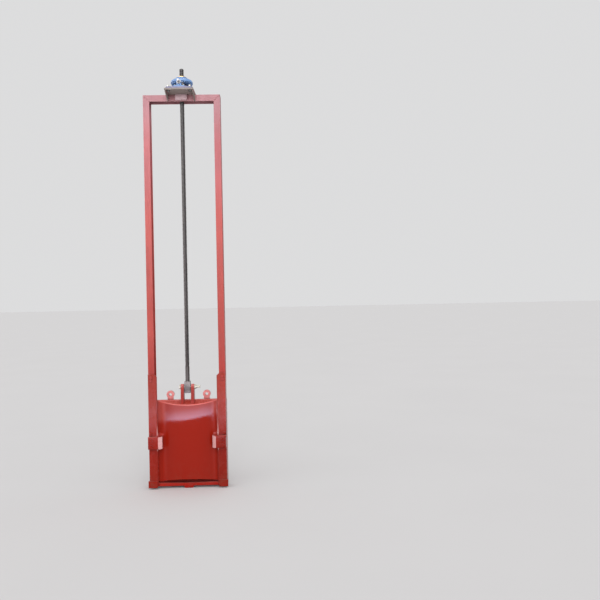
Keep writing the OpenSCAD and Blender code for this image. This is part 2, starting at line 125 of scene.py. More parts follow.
def grain(tree, scale, detail, stretch=(1, 1, 1), rough=0.5, warp=0.0):
    drawn = add(tree, "ShaderNodeMapping", {"Vector": object_point(tree), "Scale": stretch})
    return add(tree, "ShaderNodeTexNoise", {
        "Vector": drawn.outputs[0], "Scale": scale, "Detail": detail, "Roughness": rough,
        "Distortion": warp}).outputs[0]


def span(tree, value, low, high, to_low=0.0, to_high=1.0):
    return add(tree, "ShaderNodeMapRange", {
        "Value": value, "From Min": low, "From Max": high, "To Min": to_low,
        "To Max": to_high}, interpolation_type="SMOOTHSTEP").outputs[0]


def calc(tree, operation, a, b=0.0, clamp=False):
    return add(tree, "ShaderNodeMath", {0: a, 1: b}, operation=operation,
               use_clamp=clamp).outputs[0]


def times(tree, a, b):
    return calc(tree, "MULTIPLY", a, b)


def plus(tree, a, b, clamp=False):
    return calc(tree, "ADD", a, b, clamp)


def rgba(colour):
    return colour if isinstance(colour, bpy.types.NodeSocket) else (*colour, 1.0)


def blend(tree, factor, a, b, mode="MIX"):
    return add(tree, "ShaderNodeMix", {0: factor, 6: rgba(a), 7: rgba(b)},
               data_type="RGBA", blend_type=mode).outputs[2]


# A mask that the mesh carries: "edge" on rounded edges, and "sleek" on faces ground smooth.
def mask(tree, name):
    return add(tree, "ShaderNodeAttribute", attribute_name=name).outputs["Fac"]


def worn_edges(tree, scale, low, high, detail=4, rough=0.7):
    return times(tree, mask(tree, "edge"),
                 span(tree, grain(tree, scale, detail, rough=rough), low, high))


# Corners are darkened out to the reach, where little of what is round the point lies open:
# partly grime that gathers there, partly painted shade. None and full are the open share of what
# is round the point, where there is no darkening and where there is most.
def corner_grime_and_shade(tree, reach, none=0.8, full=0.3):
    shade = add(tree, "ShaderNodeAmbientOcclusion", {"Distance": reach}, samples=6)
    return span(tree, shade.outputs["AO"], none, full)


def material(name):
    made = bpy.data.materials.new(name)
    made.use_nodes = True
    return made, made.node_tree, made.node_tree.nodes["Principled BSDF"]


def finish_shader(tree, shader, colour, rough, bump=None, depth=0.0, **fixed):
    put(tree, shader.inputs["Base Color"], colour)
    put(tree, shader.inputs["Roughness"], rough)
    if bump is not None:
        bumped = add(tree, "ShaderNodeBump", {"Height": bump, "Distance": depth,
                                              "Strength": 1.0})
        tree.links.new(bumped.outputs[0], shader.inputs["Normal"])
    for key, value in fixed.items():
        shader.inputs[key.replace("_", " ")].default_value = value


# Red oxide paint, and what lies on it

STAIN_TINT = (0.66, 0.60, 0.60)
STREAK_TINT = (0.55, 0.42, 0.40)
THIN_RED = (0.60, 0.24, 0.20)
DUST_RED = (0.62, 0.18, 0.15)
MUD = (0.135, 0.060, 0.038)
# Grime and painted shade in the corners take this colour.
GRIME_AND_SHADE = (0.055, 0.010, 0.007)
EDGE_RED = (0.60, 0.20, 0.17)
RUST_DARK, RUST_LIGHT = (0.05, 0.012, 0.006), (0.16, 0.045, 0.018)
LIT_SIDE_LOW, LIT_SIDE_HIGH = (0.36, 0.022, 0.012), (0.46, 0.075, 0.062)
CREST_HIGHLIGHT_RED = (0.74, 0.17, 0.15)
GROUND_HIGHLIGHT_PINK = (0.72, 0.40, 0.40)

# Heights in metres, where a mark starts and where it is full, or full and ended.
MUD_HEIGHTS = (0.26, -0.02)
GROUND_HIGHLIGHT_FROM, GROUND_HIGHLIGHT_TO = (0.27, 0.29), (0.39, 0.50)
SIDE_HIGHLIGHT_HEIGHTS = (0.50, 0.55)
RAMP_TOP = 3.2
# The rubbed band on the leaf lies right of the middle; it is paled with painted light, and the
# heights of its painted highlight rise to the right.
LIT_SIDE_X, SIDE_HIGHLIGHT_SLANT = 0.006, 0.125


# Stops are heights in metres with the colour there.
def height_ramp(tree, z, stops):
    ramp = add(tree, "ShaderNodeValToRGB", {0: calc(tree, "DIVIDE", z, RAMP_TOP)})
    ramp.color_ramp.interpolation = "EASE"
    while len(ramp.color_ramp.elements) < len(stops):
        ramp.color_ramp.elements.new(0.5)
    for element, (height, colour) in zip(ramp.color_ramp.elements, stops):
        element.position = height / RAMP_TOP
        element.color = rgba(colour)
    return ramp.outputs[0]


# Broad stains, patches of thin paint, and streaks drawn down by the rain.
def weathered(tree, paint, patches, soiled):
    broad = grain(tree, 3.2, 4, (1, 1, 0.6), 0.6)
    paint = blend(tree, span(tree, broad, 0.35, 0.7, 0.0, 0.55 * soiled), paint,
                  blend(tree, 1.0, paint, STAIN_TINT, "MULTIPLY"))
    paint = blend(tree, span(tree, patches, 0.52, 0.72, 0.0, 0.22 * soiled), paint,
                  blend(tree, 0.20, paint, THIN_RED))
    streaks = grain(tree, 9, 4, (5, 5, 0.22), 0.6)
    return blend(tree, span(tree, streaks, 0.5, 0.75, 0.0, 0.35 * soiled), paint,
                 blend(tree, 1.0, paint, STREAK_TINT, "MULTIPLY"))


# Rust shows in the deepest chips of the edges and in small spots.
def rust_mask(tree, amount):
    chips = worn_edges(tree, 46, 0.62, 0.66, 5, 0.75)
    spots = times(tree, span(tree, grain(tree, 120, 2, rough=0.4), 0.745, 0.76),
                  span(tree, grain(tree, 7, 2), 0.5, 0.65))
    return times(tree, calc(tree, "MAXIMUM", chips, spots), amount)


# Near the casting's sides the guides have rubbed the paint dull. The sides are also paled as
# painted light: lighter low down where the guides' lips shade them, and a painted highlight
# higher up. The reach says where the band starts and is full, to either side of the middle.
def rub_and_light_sides(tree, paint, rough, z, speckle, reach):
    x = part_of(tree, object_point(tree), "X")
    off = calc(tree, "ABSOLUTE", calc(tree, "SUBTRACT", x, LIT_SIDE_X))
    sides = span(tree, off, *reach)
    patchy = times(tree, sides, span(tree, speckle, 0.2, 0.6, 0.75, 1.0))
    level = calc(tree, "SUBTRACT", z, times(tree, x, SIDE_HIGHLIGHT_SLANT))
    # Painted light: lighter low down where the lips shade the sides, and a painted highlight
    # higher up.
    rubbed_and_lit = blend(tree, span(tree, level, *SIDE_HIGHLIGHT_HEIGHTS), LIT_SIDE_LOW, LIT_SIDE_HIGH)
    return blend(tree, patchy, paint, rubbed_and_lit), plus(tree, rough, times(tree, sides, 0.16))


# The casting's upper edge carries a painted highlight, a pale line along the crest. It lies at
# the low height in the middle, and its rise grows with the square of the distance from there.
def paint_crest_highlight(tree, paint, z, up, patches, low, rise):
    across = calc(tree, "ABSOLUTE", part_of(tree, object_point(tree), "X"))
    crest = calc(tree, "SUBTRACT", z, times(tree, calc(tree, "POWER", across, 2.0), rise))
    line = times(tree, span(tree, crest, low - 0.009, low - 0.005),
                 span(tree, crest, low + 0.001, low + 0.003, 0.8, 0.0))
    line = times(tree, line, span(tree, up, 0.0, 1.0, 1.0, 0.0))
    line = times(tree, line, span(tree, patches, 0.35, 0.6, 0.6, 1.0))
    # The rounded edges just below the crest are paled as painted highlight too.
    worn = times(tree, mask(tree, "edge"), span(tree, z, low - 0.02, low, 0.0, 0.9))
    return blend(tree, calc(tree, "MAXIMUM", line, worn), paint, CREST_HIGHLIGHT_RED)


# Cast is the roughness of the surface below the paint.
def red_paint(name, stops, cast, gloss, specular, soiled=1.0, dirt=0.6, edge_pale=0.3,
              crest=None, rubbed_and_lit_sides=None):
    made, tree, shader = material(name)
    z = part_of(tree, object_point(tree), "Z")
    up = span(tree, facing_up(tree), 0.35, 0.95)
    speckle = grain(tree, 60, 4, rough=0.7)
    patches = grain(tree, 14, 5, (1, 1, 0.5), 0.62, 0.6)
    paint = weathered(tree, height_ramp(tree, z, stops), patches, soiled)
    # Dust lies on what faces up, and mud is splashed round the foot.
    dust = times(tree, up, span(tree, speckle, 0.3, 0.65, 0.30, 0.75))
    paint = blend(tree, dust, paint, blend(tree, 0.45, paint, DUST_RED))
    foot = times(tree, span(tree, z, *MUD_HEIGHTS),
                 span(tree, grain(tree, 22, 5, rough=0.7), 0.42, 0.72))
    paint = blend(tree, times(tree, foot, dirt), paint, MUD)
    # Grime and painted shade darken the corners.
    grime_and_shade = times(tree, corner_grime_and_shade(tree, 0.030), span(tree, speckle, 0.3, 0.7, 0.55, 1.0))
    paint = blend(tree, times(tree, grime_and_shade, 0.6), paint, GRIME_AND_SHADE)
    worn = worn_edges(tree, 34, 0.44, 0.62)
    paint = blend(tree, times(tree, worn, edge_pale), paint, EDGE_RED)
    rust = rust_mask(tree, soiled)
    paint = blend(tree, rust, paint, blend(tree, speckle, RUST_DARK, RUST_LIGHT))
    rough = span(tree, grain(tree, 26, 3), 0.3, 0.7, 0.85 * gloss, 1.3 * gloss)
    # The leaf's sides are rubbed dull and paled with painted light.
    if rubbed_and_lit_sides:
        paint, rough = rub_and_light_sides(tree, paint, rough, z, speckle, rubbed_and_lit_sides)
    # The crest carries a painted highlight.
    if crest:
        paint = paint_crest_highlight(tree, paint, z, up, patches, *crest)
    rough = plus(tree, rough, times(tree, dust, 0.35))
    rough = calc(tree, "MAXIMUM", rough, times(tree, rust, 0.85))
    # The ground faces are smooth, and round the wedges they carry a painted highlight, which
    # fades out above them.
    sleek = mask(tree, "sleek")
    # Painted highlight on the ground faces round the wedges.
    pale = times(tree, span(tree, z, *GROUND_HIGHLIGHT_FROM), span(tree, z, *GROUND_HIGHLIGHT_TO, 0.85, 0.0))
    pale = times(tree, pale, span(tree, speckle, 0.3, 0.6, 0.75, 1.0))
    paint = blend(tree, times(tree, sleek, pale), paint, GROUND_HIGHLIGHT_PINK)
    rough = calc(tree, "SUBTRACT", rough, times(tree, sleek, 0.10))
    rough = plus(tree, rough, times(tree, grime_and_shade, 0.2), True)
    skin = times(tree, grain(tree, 420, 2, rough=0.6), cast)
    swell = times(tree, grain(tree, 55, 3), 0.55 * cast)
    relief = times(tree, plus(tree, skin, swell), span(tree, sleek, 0.0, 1.0, 1.0, 0.12))
    relief = calc(tree, "SUBTRACT", relief, times(tree, rust, 0.4))
    finish_shader(tree, shader, paint, rough, relief, 0.6 * MM, Specular_IOR_Level=specular)
    return made


# The other finishes

def blue_paint():
    made, tree, shader = material("blue_gloss_paint")
    broad = grain(tree, 12, 4, rough=0.6)
    paint = blend(tree, span(tree, broad, 0.3, 0.7), (0.110, 0.240, 0.500),
                  (0.170, 0.320, 0.600))
    up = span(tree, facing_up(tree), 0.3, 0.95)
    speckle = grain(tree, 90, 4, rough=0.7)
    dust = times(tree, up, span(tree, speckle, 0.35, 0.7, 0.2, 0.6))
    paint = blend(tree, dust, paint, (0.42, 0.43, 0.46))
    # Grime and painted shade darken the corners.
    grime_and_shade = corner_grime_and_shade(tree, 0.02)
    paint = blend(tree, times(tree, grime_and_shade, 0.8), paint, (0.020, 0.026, 0.040))
    paint = blend(tree, worn_edges(tree, 60, 0.54, 0.62), paint, (0.30, 0.33, 0.36))
    rough = plus(tree, span(tree, grain(tree, 40, 3), 0.3, 0.7, 0.22, 0.36),
                 times(tree, dust, 0.4), True)
    finish_shader(tree, shader, paint, rough, grain(tree, 260, 3, rough=0.6), 0.4 * MM,
                  Specular_IOR_Level=0.35)
    return made


def pale_primer(name, base, shade):
    made, tree, shader = material(name)
    paint = blend(tree, span(tree, grain(tree, 18, 4, rough=0.6), 0.3, 0.7), base, shade)
    # Grime and painted shade darken the corners.
    grime_and_shade = corner_grime_and_shade(tree, 0.02, 0.85, 0.35)
    paint = blend(tree, times(tree, grime_and_shade, 0.7), paint, (0.10, 0.085, 0.090))
    marks = span(tree, grain(tree, 44, 5, rough=0.75), 0.60, 0.68)
    paint = blend(tree, times(tree, marks, 0.5), paint, (0.26, 0.17, 0.15))
    paint = blend(tree, worn_edges(tree, 50, 0.52, 0.60), paint, (0.20, 0.11, 0.08))
    rough = span(tree, grain(tree, 30, 3), 0.3, 0.7, 0.42, 0.62)
    finish_shader(tree, shader, paint, rough, grain(tree, 320, 3, rough=0.6), 0.2 * MM,
                  Specular_IOR_Level=0.25)
    return made


def steel(name, dark, light, rough_low, rough_high, metallic, stretch=(1, 1, 1), rust=0.2,
          specular=0.5):
    made, tree, shader = material(name)
    film = grain(tree, 16, 4, stretch, 0.6)
    paint = blend(tree, span(tree, film, 0.3, 0.7), dark, light)
    stain = span(tree, grain(tree, 30, 5, stretch, 0.7), 0.56, 0.70)
    paint = blend(tree, times(tree, stain, rust), paint, (0.11, 0.055, 0.032))
    # Grime and painted shade darken the corners.
    grime_and_shade = corner_grime_and_shade(tree, 0.008)
    paint = blend(tree, times(tree, grime_and_shade, 0.8), paint, (0.008, 0.007, 0.006))
    paint = blend(tree, times(tree, mask(tree, "edge"), 0.4), paint, (0.42, 0.41, 0.40))
    rough = span(tree, grain(tree, 38, 3, stretch), 0.3, 0.7, rough_low, rough_high)
    rough = plus(tree, rough, times(tree, stain, 0.3 * rust), True)
    turned = grain(tree, 700, 2, (0.2, 0.2, 1.0), 0.5)
    finish_shader(tree, shader, paint, rough, turned, 0.2 * MM, Metallic=metallic,
                  Specular_IOR_Level=specular)
    return made


def bronze_metal():
    made, tree, shader = material("turned_bronze")
    metal = blend(tree, span(tree, grain(tree, 20, 4), 0.3, 0.7), (0.42, 0.25, 0.085),
                  (0.56, 0.38, 0.15))
    # Grime and painted shade darken the corners.
    metal = blend(tree, corner_grime_and_shade(tree, 0.01, 0.85), metal, (0.045, 0.030, 0.018))
    tarnish = span(tree, grain(tree, 44, 5, rough=0.7), 0.5, 0.68)
    metal = blend(tree, times(tree, tarnish, 0.5), metal, (0.16, 0.10, 0.05))
    rough = span(tree, tarnish, 0.0, 1.0, 0.26, 0.5)
    turned = grain(tree, 600, 2, (0.2, 0.2, 1))
    finish_shader(tree, shader, metal, rough, turned, 0.2 * MM, Metallic=0.9)
    return made


# The paint on the tall frame grows paler towards its top, partly chalked and dusty, partly a
# painted sheen of the bright sky.
DEEP_RED = (0.295, 0.011, 0.003)
LEAF_STOPS = [(0.0, (0.280, 0.011, 0.003)), (0.70, DEEP_RED)]
GATE_STOPS = [(0.0, (0.260, 0.014, 0.006)), (0.36, (0.27, 0.014, 0.007)),
              (0.50, (0.30, 0.024, 0.012)), (0.90, (0.31, 0.026, 0.014))]
EYE_STOPS = [(0.0, (0.36, 0.012, 0.005)), (0.645, (0.30, 0.020, 0.012)),
             (0.675, (0.63, 0.20, 0.19)), (0.75, (0.71, 0.26, 0.25))]
EAR_STOPS = [(0.60, DEEP_RED), (0.68, (0.26, 0.016, 0.010)), (0.755, (0.30, 0.030, 0.022)),
             (0.79, (0.50, 0.13, 0.12))]
FRAME_CHALK_AND_SHEEN_STOPS = [(0.8, (0.31, 0.018, 0.010)), (1.2, (0.38, 0.044, 0.032)),
               (2.0, (0.42, 0.068, 0.058)), (2.6, (0.43, 0.110, 0.120)),
               (3.05, (0.45, 0.207, 0.230))]
SEAT_STOPS = [(2.9, (0.225, 0.183, 0.165)), (3.1, (0.25, 0.22, 0.20))]

LEAF_RED = red_paint("red_oxide_on_leaf", LEAF_STOPS, 0.006, 0.055, 0.20, soiled=0.15,
                     dirt=0.2, edge_pale=0.1, crest=(0.630, 0.576),
                     rubbed_and_lit_sides=(0.164, 0.208))
GATE_RED = red_paint("red_oxide_on_castings", GATE_STOPS, 0.45, 0.24, 0.16, dirt=0.35,
                     edge_pale=0.2)
SEAT_FRAME_RED = red_paint("red_oxide_on_wall_frame", EYE_STOPS, 0.50, 0.30, 0.15, dirt=0.25)
EAR_RED = red_paint("red_oxide_on_ears", EAR_STOPS, 0.45, 0.26, 0.15)
# The channel's paler top is partly chalk and dust, partly a painted sheen.
FRAME_RED = red_paint("red_oxide_on_channel", FRAME_CHALK_AND_SHEEN_STOPS, 0.16, 0.34, 0.25)
SEAT_RED = red_paint("red_oxide_on_seat", SEAT_STOPS, 0.3, 0.5, 0.2)
BLUE = blue_paint()
PRIMER = pale_primer("pale_primer", (0.19, 0.19, 0.30), (0.26, 0.26, 0.38))
PACKER = pale_primer("dusty_pink_primer", (0.52, 0.345, 0.37), (0.62, 0.43, 0.47))
STEM_STEEL = steel("oiled_stem_steel", (0.024, 0.020, 0.019), (0.052, 0.046, 0.044),
                   0.22, 0.34, 0.0, (1, 1, 0.15), specular=0.35)
GEAR_STEEL = steel("oiled_gear_steel", (0.050, 0.047, 0.045), (0.11, 0.105, 0.10),
                   0.30, 0.48, 0.9)
BRIGHT = steel("turned_steel", (0.16, 0.155, 0.15), (0.24, 0.235, 0.23), 0.28, 0.42, 0.9)
ZINC = steel("zinc_plated_bolts", (0.36, 0.35, 0.29), (0.48, 0.47, 0.40), 0.34, 0.50, 0.25,
             rust=0.35, specular=0.3)
BRONZE = bronze_metal()

FINISH = {
    "gate_red": GATE_RED, "frame_red": FRAME_RED, "hoist_blue": BLUE, "base_grey": PRIMER,
    "dark_steel": GEAR_STEEL, "bright_steel": BRIGHT, "bronze": BRONZE,
}
NODE_FINISH = {
    "leaf": LEAF_RED, "seat_frame": SEAT_FRAME_RED, "ear_left": EAR_RED,
    "ear_right": EAR_RED, "seat_plate": SEAT_RED, "seat_gusset_left": SEAT_RED,
    "seat_gusset_right": SEAT_RED, "beam_packer": PACKER, "lift_pin": ZINC,
}


# Makes a mesh into a piece that rides on a body. It is smooth below the angle in degrees.
def to_object(name, bm, finish, body, replaced=(), smooth=38):
    mesh = bpy.data.meshes.new(name)
    bm.to_mesh(mesh)
    bm.free()
    for carried in ("edge", "sleek"):
        if carried not in mesh.attributes:
            mesh.attributes.new(carried, "FLOAT", "CORNER")
    mesh.polygons.foreach_set("use_smooth", [True] * len(mesh.polygons))
    mesh.set_sharp_from_angle(angle=math.radians(smooth))
    mesh.materials.append(finish)
    made = put_in_scene(name, mesh)
    weighted = made.modifiers.new("face_weights", "WEIGHTED_NORMAL")
    weighted.keep_sharp = True
    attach(made, body)
    if replaced:
        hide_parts(*replaced)
    return made


# The rounded edges of the solids

# Places on the guides' lips and the wedge blocks, from the left block's outer front corner.
block_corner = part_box("wedge_block_left")[0]
LIP_X, LIP_Y = abs(block_corner.x) - 68 * MM, block_corner.y + 45 * MM
SLOPE_X, SLOPE_Y = abs(block_corner.x) - 80 * MM, block_corner.y
LIP_CUT, LIP_DROP = 7.5 * MM, 2.6 * MM
SLOPE_CUT, SLOPE_DROP = 7 * MM, 4.6 * MM

# Radius of each node's edges in millimetres.
ROUNDING = {
    "seat_frame": 3.0, "guide_left": 2.2, "guide_right": 2.2, "wedge_block_left": 3.5,
    "wedge_block_right": 3.5, "upright_left": 1.6, "upright_right": 1.6, "top_beam": 1.6,
    "beam_packer": 1.5, "seat_plate": 1.2, "seat_gusset_left": 1.0, "seat_gusset_right": 1.0,
    "hoist_base": 2.0, "bearing_block": 2.0, "thrust_ring": 0.8, "leaf": 2.5,
    "ear_left": 2.5, "ear_right": 2.5, "lift_pin": 0.8, "stem_block": 1.5,
    "drive_nut": 1.0, "crank_shaft": 0.7, "crown_gear": 0.5, "bevel_pinion": 0.4,
}
ROUND_FROM = math.radians(28)


# Takes off the long edges that stand at x to both sides, in front of y.
def shave(bm, x, y, size):
    picked = [e for e in bm.edges if e.calc_length() > 30 * MM
              and all(v.co.y < y + MM and abs(abs(v.co.x) - x) < MM for v in e.verts)]
    return bmesh.ops.bevel(bm, geom=picked, offset=size, offset_type="OFFSET", segments=1,
                           profile=0.5, affect="EDGES")["faces"]


# The inner front edges of the guides' lips and of the wedge blocks are ground back, more one
# way than the other.
def grind(bm, node):
    if node.startswith("guide"):
        ground = shave(bm, LIP_X, LIP_Y, LIP_CUT)
        for vert in {v for f in ground for v in f.verts if abs(abs(v.co.x) - LIP_X) < MM / 2}:
            vert.co.y -= LIP_DROP
        return ground
    if node.startswith("wedge_block"):
        ground = shave(bm, SLOPE_X, SLOPE_Y, SLOPE_CUT)
        for vert in {v for f in ground for v in f.verts if v.co.y < SLOPE_Y + MM / 2}:
            vert.co.x -= math.copysign(SLOPE_DROP, vert.co.x)
        bm.normal_update()
        inward = -1 if node.endswith("right") else 1
        return [f for f in bm.faces if f.normal.y < -0.5 and f.normal.x * inward > 0.3]
    return []


def paint_mask(faces, layer):
    for face in faces:
        for loop in face.loops:
            loop[layer] = 1.0


# A CAD node again, with the edges of its solid rounded over.
def rounded(node, radius):
    bm = bmesh.new()
    bm.from_mesh(frame["nodes"][node].data)
    bmesh.ops.remove_doubles(bm, verts=bm.verts, dist=2e-6)
    bmesh.ops.dissolve_limit(bm, angle_limit=math.radians(0.5), verts=bm.verts,
                             edges=bm.edges)
    edge = bm.loops.layers.float.new("edge")
    sleek = bm.loops.layers.float.new("sleek")
    paint_mask(grind(bm, node), sleek)
    picked = [e for e in bm.edges if len(e.link_faces) == 2
              and e.calc_face_angle() > ROUND_FROM and e.calc_length() > 0.2 * radius]
    done = bmesh.ops.bevel(bm, geom=picked, offset=radius, offset_type="OFFSET", segments=2,
                           profile=0.5, affect="EDGES", clamp_overlap=True)
    paint_mask([f for f in done["faces"] if f.is_valid], edge)
    bmesh.ops.dissolve_degenerate(bm, dist=1e-6, edges=bm.edges)
    finish = NODE_FINISH.get(node, FINISH[SLOT[node]])
    to_object(node + "_finished", bm, finish, BODY[node], [node])


for node, millimetres in ROUNDING.items():
    rounded(node, millimetres * MM)


# Forms of the small pieces. Each stands on a place, with Z along its own axis.

ROUND_STEPS = 24


def place(point, axis, spin):
    turn = Vector(axis).to_track_quat("Z", "Y").to_matrix().to_4x4()
    return Matrix.Translation(Vector(point)) @ turn @ Matrix.Rotation(spin, 4, "Z")


def loft(bm, rows):
    made = [[bm.verts.new(p) for p in row] for row in rows]
    count = len(rows[0])
    for low, high in zip(made, made[1:]):
        for i in range(count):
            j = (i + 1) % count
            bm.faces.new((low[i], low[j], high[j], high[i]))
    bm.faces.new(made[0][::-1])
    bm.faces.new(made[-1])


def round_row(at, radius, z, count=ROUND_STEPS):
    return [at @ Vector((radius * math.cos(a), radius * math.sin(a), z))
            for a in (2 * math.pi * i / count for i in range(count))]


# A hexagon, with its corners cut off at the limit as on a turned head.
def hex_row(at, apothem, z, limit=math.inf):
    row = []
    for i in range(ROUND_STEPS):
        a = 2 * math.pi * i / ROUND_STEPS
        side = (a + math.pi / 6) % (math.pi / 3) - math.pi / 6
        radius = min(apothem / math.cos(side), limit)
        row.append(at @ Vector((radius * math.cos(a), radius * math.sin(a), z)))
    return row


# Washers and heads take their proportions from the bolt's size, and return their top's height.
def washer(bm, at, size):
    outer, thick = 1.02 * size, 0.16 * size
    loft(bm, [round_row(at, outer, 0.0), round_row(at, outer, 0.8 * thick),
              round_row(at, outer - 0.2 * thick, thick)])
    return thick


def hex_head(bm, at, size, z, tall=0.65):
    apothem = 0.78 * size
    top = z + tall * size
    loft(bm, [hex_row(at, apothem, z), hex_row(at, apothem, top - 0.10 * size),
              hex_row(at, apothem, top - 0.02 * size, 1.06 * apothem),
              hex_row(at, apothem, top, 0.96 * apothem)])
    return top


def hex_bolt(bm, point, axis, size, spin):
    at = place(point, axis, spin)
    hex_head(bm, at, size, washer(bm, at, size))


# Proud is how far the stud stands out of its nut, as a share of its size.
def nut_on_stud(bm, point, axis, size, spin, proud=0.35):
    at = place(point, axis, spin)
    top = hex_head(bm, at, size, washer(bm, at, size), 0.85)
    stud = 0.48 * size
    loft(bm, [round_row(at, stud, 0.2 * size),
              round_row(at, stud, top + (proud - 0.08) * size),
              round_row(at, 0.8 * stud, top + proud * size)])


# A screw thread of trapezium form, wound as one surface and closed at both ends.
def thread(bm, at, z0, z1, outer, root, pitch, count):
    steps = int(round((z1 - z0) / pitch * count)) + count
    form = [(0.0, root), (0.30, root), (0.46, outer), (0.84, outer)]
    grid = []
    for i in range(steps + count + 1):
        a = 2 * math.pi * i / count
        row = []
        for share, radius in form:
            z = z0 - pitch + pitch * (i / count + share)
            if z < z0 or z > z1:
                radius = root
            z = min(max(z, z0), z1)
            row.append(bm.verts.new(at @ Vector((radius * math.cos(a),
                                                 radius * math.sin(a), z))))
        grid.append(row)
    for i in range(steps):
        here = grid[i] + [grid[i + count][0]]
        there = grid[i + 1] + [grid[i + 1 + count][0]]
        for j in range(len(form)):
            bm.faces.new((here[j], there[j], there[j + 1], here[j + 1]))
    bmesh.ops.remove_doubles(bm, verts=bm.verts, dist=1e-6)
    bmesh.ops.dissolve_degenerate(bm, dist=1e-6, edges=bm.edges)
    loose = [v for v in bm.verts if not v.link_faces]
    bmesh.ops.delete(bm, geom=loose, context="VERTS")
    rim = [e for e in bm.edges if e.is_boundary]
    bmesh.ops.holes_fill(bm, edges=rim, sides=0)


# A weld bead along a line, rippled as the welder moved. The seed makes each one its own.
def bead(bm, start, end, radius, seed):
    start, end = Vector(start), Vector(end)
    length = (end - start).length
    steps = max(6, int(length / (1.6 * MM)))
    turn = (end - start).to_track_quat("Z", "Y").to_matrix().to_4x4()
    rows = []
    for i in range(steps + 1):
        t = i / steps
        swell = 1 + 0.13 * math.sin(i * 1.9 + seed) + 0.22 * noise.noise((i * 0.09, seed, 0.5))
        taper = min(1.0, 0.35 + 6 * t, 0.35 + 6 * (1 - t))
        centre = start.lerp(end, t)
        drift = 0.25 * radius * noise.noise((i * 0.05, 3.1 + seed, 0.2))
        at = Matrix.Translation(centre + Vector((drift, drift, drift))) @ turn
        rows.append(round_row(at, radius * swell * taper, 0, 8))
    loft(bm, rows)


# The small pieces themselves

# The stem: a plain bar with a screw cut along the length that the nut travels.
def make_stem():
    low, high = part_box("stem")
    outer = (high.x - low.x) / 2
    root = outer - 4.5 * MM
    bar = outer - 0.4 * MM
    cut_from = 0.93
    at = Matrix.Translation((0, (high.y + low.y) / 2, 0))
    bm = bmesh.new()
    loft(bm, [round_row(at, bar, low.z, 48), round_row(at, bar, cut_from - 4 * MM, 48),
              round_row(at, root, cut_from, 48)])
    thread(bm, at, cut_from, high.z - 4 * MM, outer, root, 10 * MM, 28)
    loft(bm, [round_row(at, root, high.z - 5 * MM, 28),
              round_row(at, root - 0.2 * MM, high.z - 2 * MM, 28),
              round_row(at, root - 2 * MM, high.z, 28)])
    to_object("stem_with_thread", bm, STEM_STEEL, BODY["stem"], ["stem"], 30)


# Distances from the middle to either side, and heights of the bolts that join guide and upright.
BLOCK_BOLT_X, STUD_X, LIP_BOLT_X, SPLICE_X = 0.276, 0.2215, 0.286, 0.277
SPLICE_HEIGHTS = (0.826, 0.848)


# Two bolts and an adjusting stud on the wedge block, a bolt on the guide's lip above it, and
# the bolts that join guide and upright. Side is -1 on the left and 1 on the right.
def make_side_bolts(side, name):
    low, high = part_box("wedge_block_" + name)
    middle = (low.z + high.z) / 2
    bm = bmesh.new()
    for rise, spin in ((24 * MM, 0.2), (-24 * MM, 0.5)):
        hex_bolt(bm, (side * BLOCK_BOLT_X, low.y, middle + rise), FRONT, M14, spin)
    nut_on_stud(bm, (side * STUD_X, low.y + 22 * MM, high.z), UP, M12, 0.3, 0.9)
    hex_bolt(bm, (side * LIP_BOLT_X, LIP_Y, high.z + 14 * MM), FRONT, M12, 0.1)
    to_object("wedge_bolts_" + name, bm, GATE_RED, "frame")
    bm = bmesh.new()
    for z in SPLICE_HEIGHTS:
        hex_bolt(bm, (side * SPLICE_X, LIP_Y, z), FRONT, M12, 0.4)
        nut_on_stud(bm, (side * SPLICE_X, LIP_Y + 17 * MM, z), BACK, M12, 0.2)
    to_object("splice_bolts_" + name, bm, FRAME_RED, "frame")


# Four bolts through the hoist's base and its seat, and two on the foot of the bearing block.
def make_hoist_bolts():
    base_low, base_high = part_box("hoist_base")
    seat_low, seat_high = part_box("seat_plate")
    base_top = seat_high.z + 14 * MM
    inset = 20 * MM
    nuts, heads = bmesh.new(), bmesh.new()
    for x in (base_low.x + inset, base_high.x - inset):
        for y in (base_low.y + inset, base_high.y - inset):
            nut_on_stud(nuts, (x, y, base_top), UP, M12, RNG.random(), 0.4)
            hex_bolt(heads, (x, y, seat_low.z), DOWN, M12, RNG.random())
    to_object("hoist_nuts", nuts, ZINC, "frame")
    to_object("hoist_bolt_heads", heads, GEAR_STEEL, "frame")
    low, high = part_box("bearing_block")
    bm = bmesh.new()
    for x in (-30 * MM, 30 * MM):
        hex_bolt(bm, (x, (low.y + high.y) / 2, low.z + 12 * MM), UP, M10, RNG.random())
    to_object("bearing_bolts", bm, ZINC, "frame")


# Weld beads where the hoist's seat is built up on the beam, and on the beam's mitres.
def make_welds():
    thin, middling, thick = 2.2 * MM, 2.4 * MM, 2.6 * MM
    channel = 50 * MM
    beam_low, beam_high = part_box("top_beam")
    seat_low, seat_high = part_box("seat_plate")
    bm = bmesh.new()
    for side, name in ((-1, "left"), (1, "right")):
        low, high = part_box("seat_gusset_" + name)
        for x in (low.x, high.x):
            bead(bm, (x, low.y + 6 * MM, high.z), (x, high.y, high.z), thick, side + x)
            bead(bm, (x, high.y, low.z + 4 * MM), (x, high.y, high.z), thick, side + x + 4)
        x_in, x_out = side * (beam_high.x - channel), side * beam_high.x
        for y in (beam_low.y, beam_high.y):
            bead(bm, (x_in, y, beam_low.z), (x_out, y, beam_high.z), thin, 7 + side + y)
    bead(bm, (seat_low.x + 4 * MM, beam_high.y, seat_low.z),
         (seat_high.x - 4 * MM, beam_high.y, seat_low.z), thick, 3)
    low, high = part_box("beam_packer")
    for x, seed in ((low.x, 21), (high.x, 22)):
        bead(bm, (x, high.y, low.z), (x, high.y, high.z - 3 * MM), middling, seed)
    bead(bm, (low.x, high.y, low.z), (high.x, high.y, low.z), middling, 23)
    to_object("frame_welds", bm, FRAME_RED, "frame", smooth=80)


